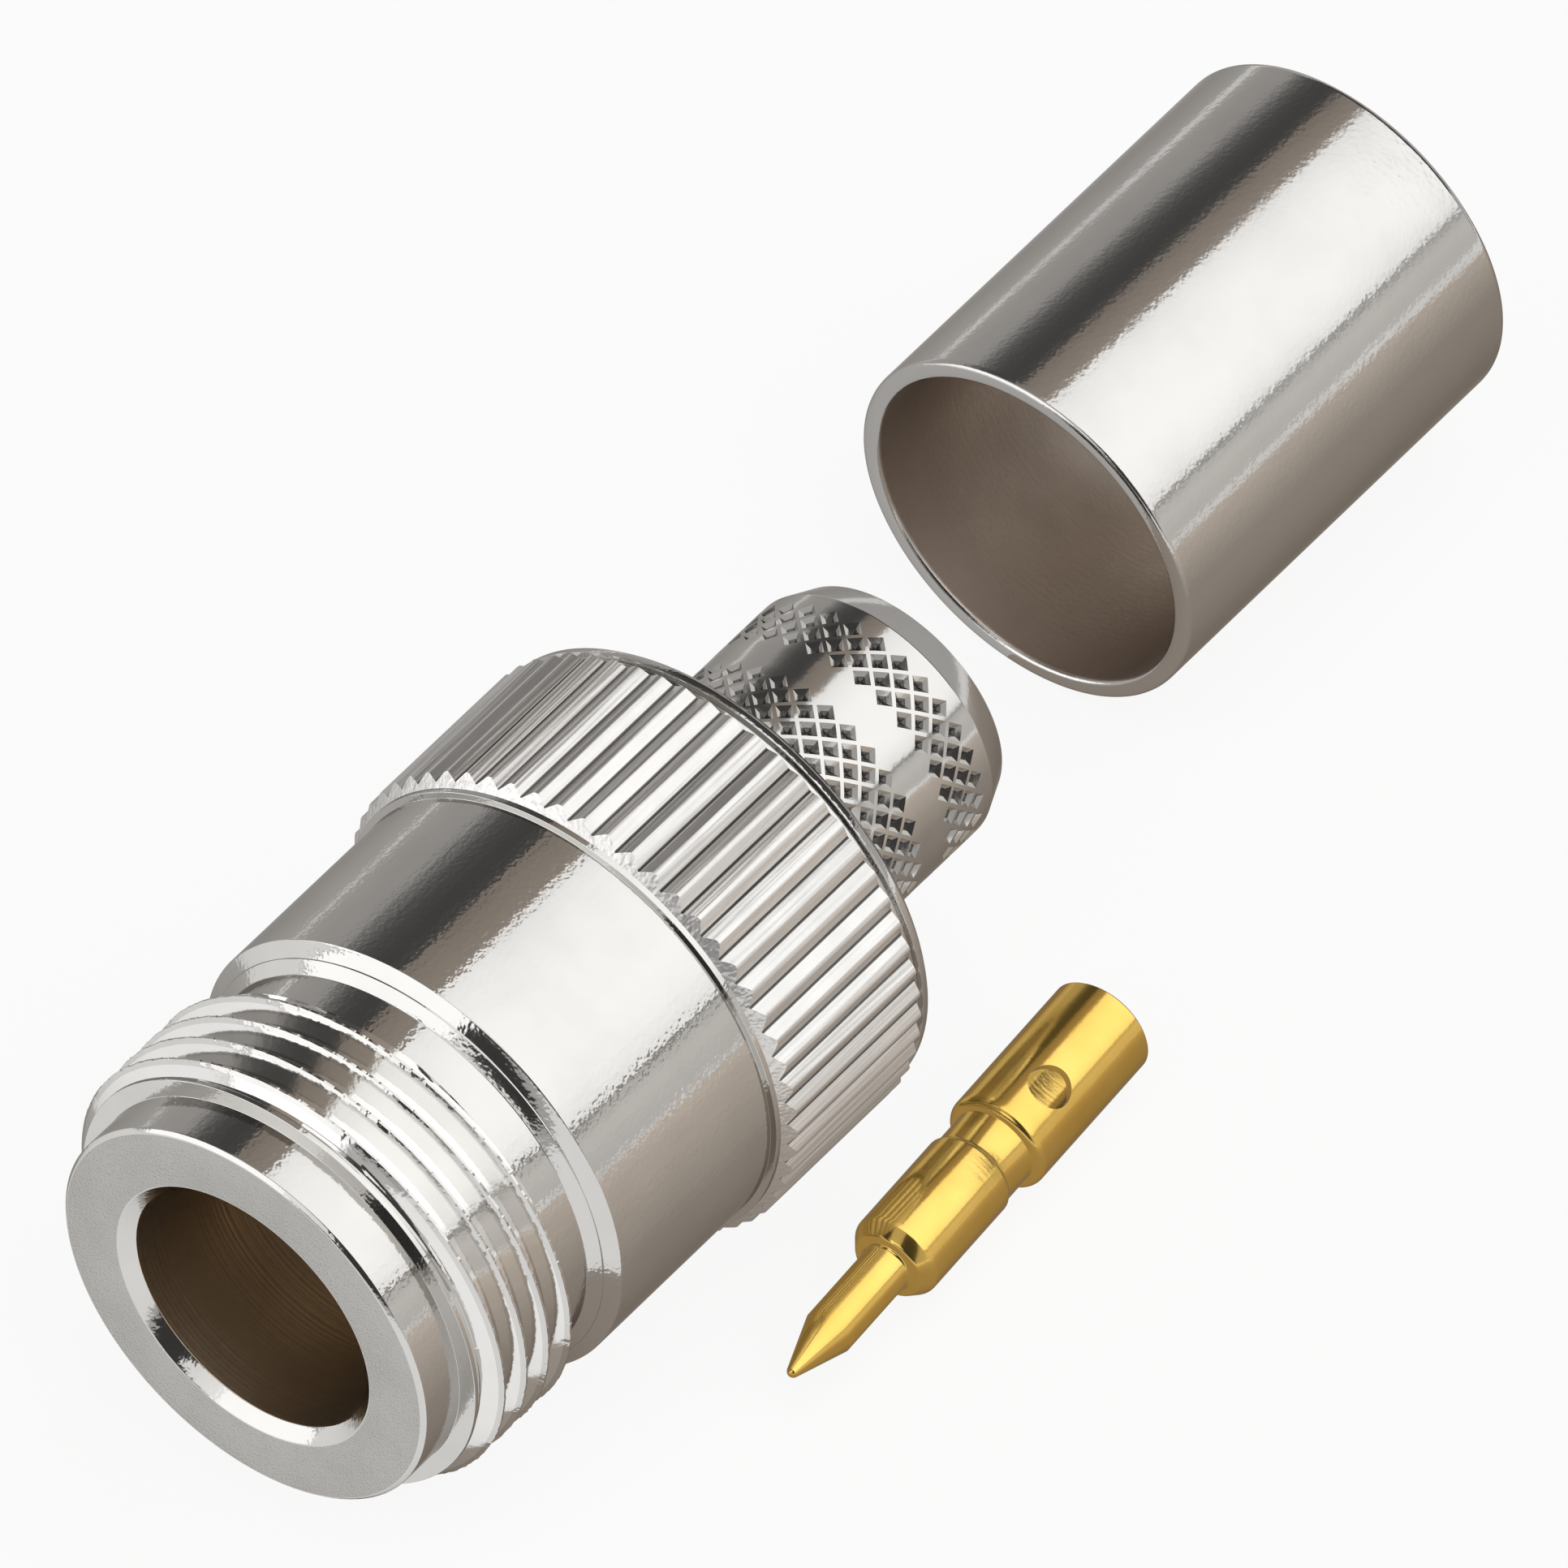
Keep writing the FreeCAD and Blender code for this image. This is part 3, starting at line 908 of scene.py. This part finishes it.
ferrule_angles = [2.0 * math.pi * index / 256 for index in range(256)]
ferrule_outline = [
    (FERRULE_BORE_R, FERRULE_LENGTH / 2.0),
    (FERRULE_BORE_R, 0.0),
    (FERRULE_R, 0.0),
    (FERRULE_R, FERRULE_LENGTH),
    (FERRULE_BORE_R, FERRULE_LENGTH),
    (FERRULE_BORE_R, FERRULE_LENGTH / 2.0),
]
ferrule_path = eased(ferrule_outline, FERRULE_EDGE * 1.2, 6)
ferrule = skin("ferrule_tube", [[ring(r, y, ferrule_angles) for r, y in ferrule_path]])
ferrule_place = Vector((FERRULE_X, FERRULE_Y, cad_low[2] / MM + FERRULE_R)) * MM
ferrule.data.transform(Matrix.Translation(ferrule_place))
ferrule.data.materials.append(
    plated_metal(
        "ferrule_nickel",
        place=tuple(ferrule_place),
        Tone=(0.66, 0.652, 0.635, 1.0),
        Cloud_tone=(0.60, 0.59, 0.575, 1.0),
        Cloud_share=0.3,
        Ripple=1.3,
        Tool_rings=0.0,
        Gloss=0.11,
    )
)
drawn_inside = plated_metal(
    "ferrule_inside",
    place=tuple(ferrule_place),
    height=0.000008,
    Tone=(0.72, 0.65, 0.59, 1.0),
    Cloud_tone=(0.62, 0.555, 0.50, 1.0),
    Cloud_share=0.5,
    Ripple=0.6,
    Tool_rings=0.2,
    Gloss=0.38,
)
ferrule_axis = ferrule_place / MM
refinish(
    ferrule.data,
    drawn_inside,
    lambda at, out: math.hypot(at.x - ferrule_axis.x, at.z - ferrule_axis.z) < FERRULE_BORE_R + 0.02,
)
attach(ferrule, "root")
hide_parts("crimp_ferrule")

# A pale matt table that the set lies on. It looks white to the camera and in the metal, and keeps
# a share of its own paint for the shadows.

FLOOR_R = 0.60
TABLE_WHITE = 0.9

floor_angles = [math.pi * index / 32 for index in range(64)]
floor_points = [(FLOOR_R * math.cos(a), FLOOR_R * math.sin(a), 0.0) for a in floor_angles]
floor_mesh = bpy.data.meshes.new("table_top")
floor_mesh.from_pydata(floor_points, [], [tuple(range(64))])
floor_mesh.transform(Matrix.Translation((0.0, 0.0, cad_low[2])))
floor = bpy.data.objects.new("table_top", floor_mesh)
bpy.context.scene.collection.objects.link(floor)
floor_paint = bpy.data.materials.new("white_table")
floor_paint.use_nodes = True
floor_tree = floor_paint.node_tree
floor_shader = floor_tree.nodes["Principled BSDF"]
floor_shader.inputs["Base Color"].default_value = (0.9, 0.9, 0.895, 1.0)
floor_shader.inputs["Roughness"].default_value = 1.0
floor_shader.inputs["Specular IOR Level"].default_value = 0.0
floor_path = add(floor_tree, "ShaderNodeLightPath")
floor_seen = add(
    floor_tree,
    "ShaderNodeMath",
    {0: floor_path.outputs["Is Camera Ray"], 1: floor_path.outputs["Is Glossy Ray"]},
    operation="MAXIMUM",
)
floor_seen = add(
    floor_tree,
    "ShaderNodeMath",
    {0: floor_seen.outputs[0], 1: floor_path.outputs["Is Transmission Ray"]},
    operation="MAXIMUM",
)
floor_share = add(
    floor_tree,
    "ShaderNodeMath",
    {0: floor_seen.outputs[0], 1: TABLE_WHITE},
    operation="MULTIPLY",
)
floor_white = add(
    floor_tree,
    "ShaderNodeEmission",
    {"Color": (1.0, 1.0, 1.0, 1.0), "Strength": 1.0},
)
floor_mix = add(
    floor_tree,
    "ShaderNodeMixShader",
    {0: floor_share.outputs[0], 1: floor_shader.outputs[0], 2: floor_white.outputs[0]},
)
floor_tree.links.new(floor_mix.outputs[0], floor_tree.nodes["Material Output"].inputs["Surface"])
floor_mesh.materials.append(floor_paint)

# Studio cards around the set. Those overhead are bent about its long axis: a broad soft light,
# dark flags to its left and a thin dark gap on its right. Others stand in front of the nose, and
# two low ones along the sides are there for the metal to reflect.

CARD_DISTANCE = 1.0
FRONT_DISTANCE = 1.0


def card(name, edge, colour, shades):
    """A glowing card woven between two edges, each a list of points, in metres.

    Its brightness runs through the shades given, evenly from the first points to the last.
    """
    near, far = edge
    points = [point for pair in zip(near, far) for point in pair]
    steps = len(near) - 1
    mesh = bpy.data.meshes.new(name)
    mesh.from_pydata(points, [], [(2 * i, 2 * i + 1, 2 * i + 3, 2 * i + 2) for i in range(steps)])
    glow = mesh.attributes.new("glow", "FLOAT", "POINT")
    for index in range(len(points)):
        place = (index // 2) / steps * (len(shades) - 1)
        below = min(int(place), len(shades) - 2)
        glow.data[index].value = shades[below] + (shades[below + 1] - shades[below]) * (place - below)
    paint = bpy.data.materials.new(name)
    paint.use_nodes = True
    tree = paint.node_tree
    tree.nodes.remove(tree.nodes["Principled BSDF"])
    shade = add(tree, "ShaderNodeAttribute", attribute_name="glow")
    light = add(tree, "ShaderNodeEmission", {"Color": (*colour, 1.0), "Strength": shade.outputs["Fac"]})
    tree.links.new(light.outputs[0], tree.nodes["Material Output"].inputs["Surface"])
    mesh.materials.append(paint)
    piece = bpy.data.objects.new(name, mesh)
    bpy.context.scene.collection.objects.link(piece)
    piece.visible_camera = False
    return piece


def bent(low, high, near=-0.35, far=0.95, steps=24):
    """Two edges of a card bent about +Y between two angles from straight up."""
    angles = [math.radians(low + (high - low) * step / steps) for step in range(steps + 1)]
    arc = [(CARD_DISTANCE * math.sin(angle), CARD_DISTANCE * math.cos(angle)) for angle in angles]
    return [(x, near, z) for x, z in arc], [(x, far, z) for x, z in arc]


def level(stops, near, far, height):
    """Two edges of a low card whose points stand at the given distances to the side."""
    return [(x, near, height) for x in stops], [(x, far, height) for x in stops]


def upright(left, right, low, high):
    """Two edges of a card that stands across the view in front of the nose."""
    bottom = [(left, -FRONT_DISTANCE, low), (right, -FRONT_DISTANCE, low)]
    top = [(left, -FRONT_DISTANCE, high), (right, -FRONT_DISTANCE, high)]
    return bottom, top


soft_light = card(
    "soft_light",
    bent(-13.0, 67.5),
    (1.0, 1.0, 0.99),
    [1.18, 1.30, 1.38, 1.41, 1.42, 1.36, 1.15],
)
front_left = card("front_left", upright(-2.5, -0.13, 0.0, 1.0), (1.0, 1.0, 1.0), [1.5, 1.5])

NEUTRAL = (1.0, 0.97, 0.95)
DIM_CARDS = [
    ("right_gap", bent(67.5, 70.0), (1.0, 0.95, 0.9), [0.24, 0.24]),
    ("right_wall", bent(70.0, 91.0), (1.0, 0.96, 0.92), [0.63, 0.73, 0.67, 0.63]),
    ("brown_flag", bent(-32.0, -13.0), (1.0, 0.86, 0.74), [0.27, 0.32, 0.35]),
    ("dark_flag", bent(-66.0, -32.0), NEUTRAL, [0.40, 0.19, 0.10, 0.08, 0.07, 0.09]),
    ("left_wall", bent(-91.0, -66.0), (1.0, 0.97, 0.94), [0.51, 0.43, 0.40]),
    ("rear_dark", bent(-60.0, 60.0, 0.95, 1.9), NEUTRAL, [0.06, 0.06]),
    ("camera_side", upright(0.36, 1.6, 0.10, 2.2), NEUTRAL, [0.05, 0.05]),
    ("camera_low", upright(-0.13, 0.36, 0.10, 0.40), NEUTRAL, [0.05, 0.05]),
    ("camera_gap", upright(-0.13, 0.36, 0.40, 1.0), (1.0, 0.99, 0.98), [1.2, 1.0]),
]

LOW_HEIGHT = cad_low[2] + 0.00005
LOW_NEAR = 0.001
LOW_FAR = 0.12
RIGHT_STOPS = [-0.003, 0.0145, 0.019, 0.036, 0.10, 0.50, 1.2]
LEFT_STOPS = [-1.2, -0.50, -0.003]
LOW_CARDS = [
    (
        "low_right",
        level(RIGHT_STOPS, LOW_NEAR, LOW_FAR, LOW_HEIGHT),
        (1.0, 0.88, 0.77),
        [0.35, 0.365, 0.42, 0.54, 0.65, 0.71, 0.71],
    ),
    (
        "low_left",
        level(LEFT_STOPS, LOW_NEAR, LOW_FAR, LOW_HEIGHT),
        (1.0, 0.98, 0.96),
        [0.53, 0.59, 0.54],
    ),
]
flags = [card(*what) for what in DIM_CARDS]
low_cards = [card(*what) for what in LOW_CARDS]
for low_card in low_cards:
    low_card.visible_diffuse = False
    low_card.visible_shadow = False
for dim_card in flags + low_cards:
    dim_card.data.materials[0].cycles.emission_sampling = "NONE"

world = bpy.data.worlds.new("studio")
bpy.context.scene.world = world
world.use_nodes = True
sky = world.node_tree.nodes["Background"]
sky.inputs["Color"].default_value = (1.0, 0.98, 0.96, 1.0)
sky.inputs["Strength"].default_value = 0.5

# The camera stands well back with a long lens, above and in front of the nose.

LENS = 931.68
SENSOR = 36.0
PHOTO_PIXELS = 1932.0
NOSE_PIXEL = (299.37, 1622.04)
NOSE_DISTANCE = 1.212424
CAMERA_RISE = math.radians(48.03)
CAMERA_TURN = math.radians(38.03)

to_right = Vector((math.cos(CAMERA_TURN), math.sin(CAMERA_TURN), 0.0))
ahead = Vector(
    (
        -math.sin(CAMERA_TURN) * math.cos(CAMERA_RISE),
        math.cos(CAMERA_TURN) * math.cos(CAMERA_RISE),
        -math.sin(CAMERA_RISE),
    )
)
upward = to_right.cross(ahead)
pixel_size = SENSOR / PHOTO_PIXELS / LENS
nose_right = (NOSE_PIXEL[0] - PHOTO_PIXELS / 2.0) * pixel_size * NOSE_DISTANCE
nose_up = (PHOTO_PIXELS / 2.0 - NOSE_PIXEL[1]) * pixel_size * NOSE_DISTANCE
stand = -(to_right * nose_right + upward * nose_up + ahead * NOSE_DISTANCE)
camera_data = bpy.data.cameras.new("camera")
camera_data.lens = LENS
camera_data.sensor_width = SENSOR
camera = bpy.data.objects.new("camera", camera_data)
turned_to_view = Matrix((to_right, upward, -ahead)).transposed().to_4x4()
camera.matrix_world = Matrix.Translation(stand) @ turned_to_view
bpy.context.scene.collection.objects.link(camera)
bpy.context.scene.camera = camera
bpy.context.scene.view_settings.view_transform = "Standard"
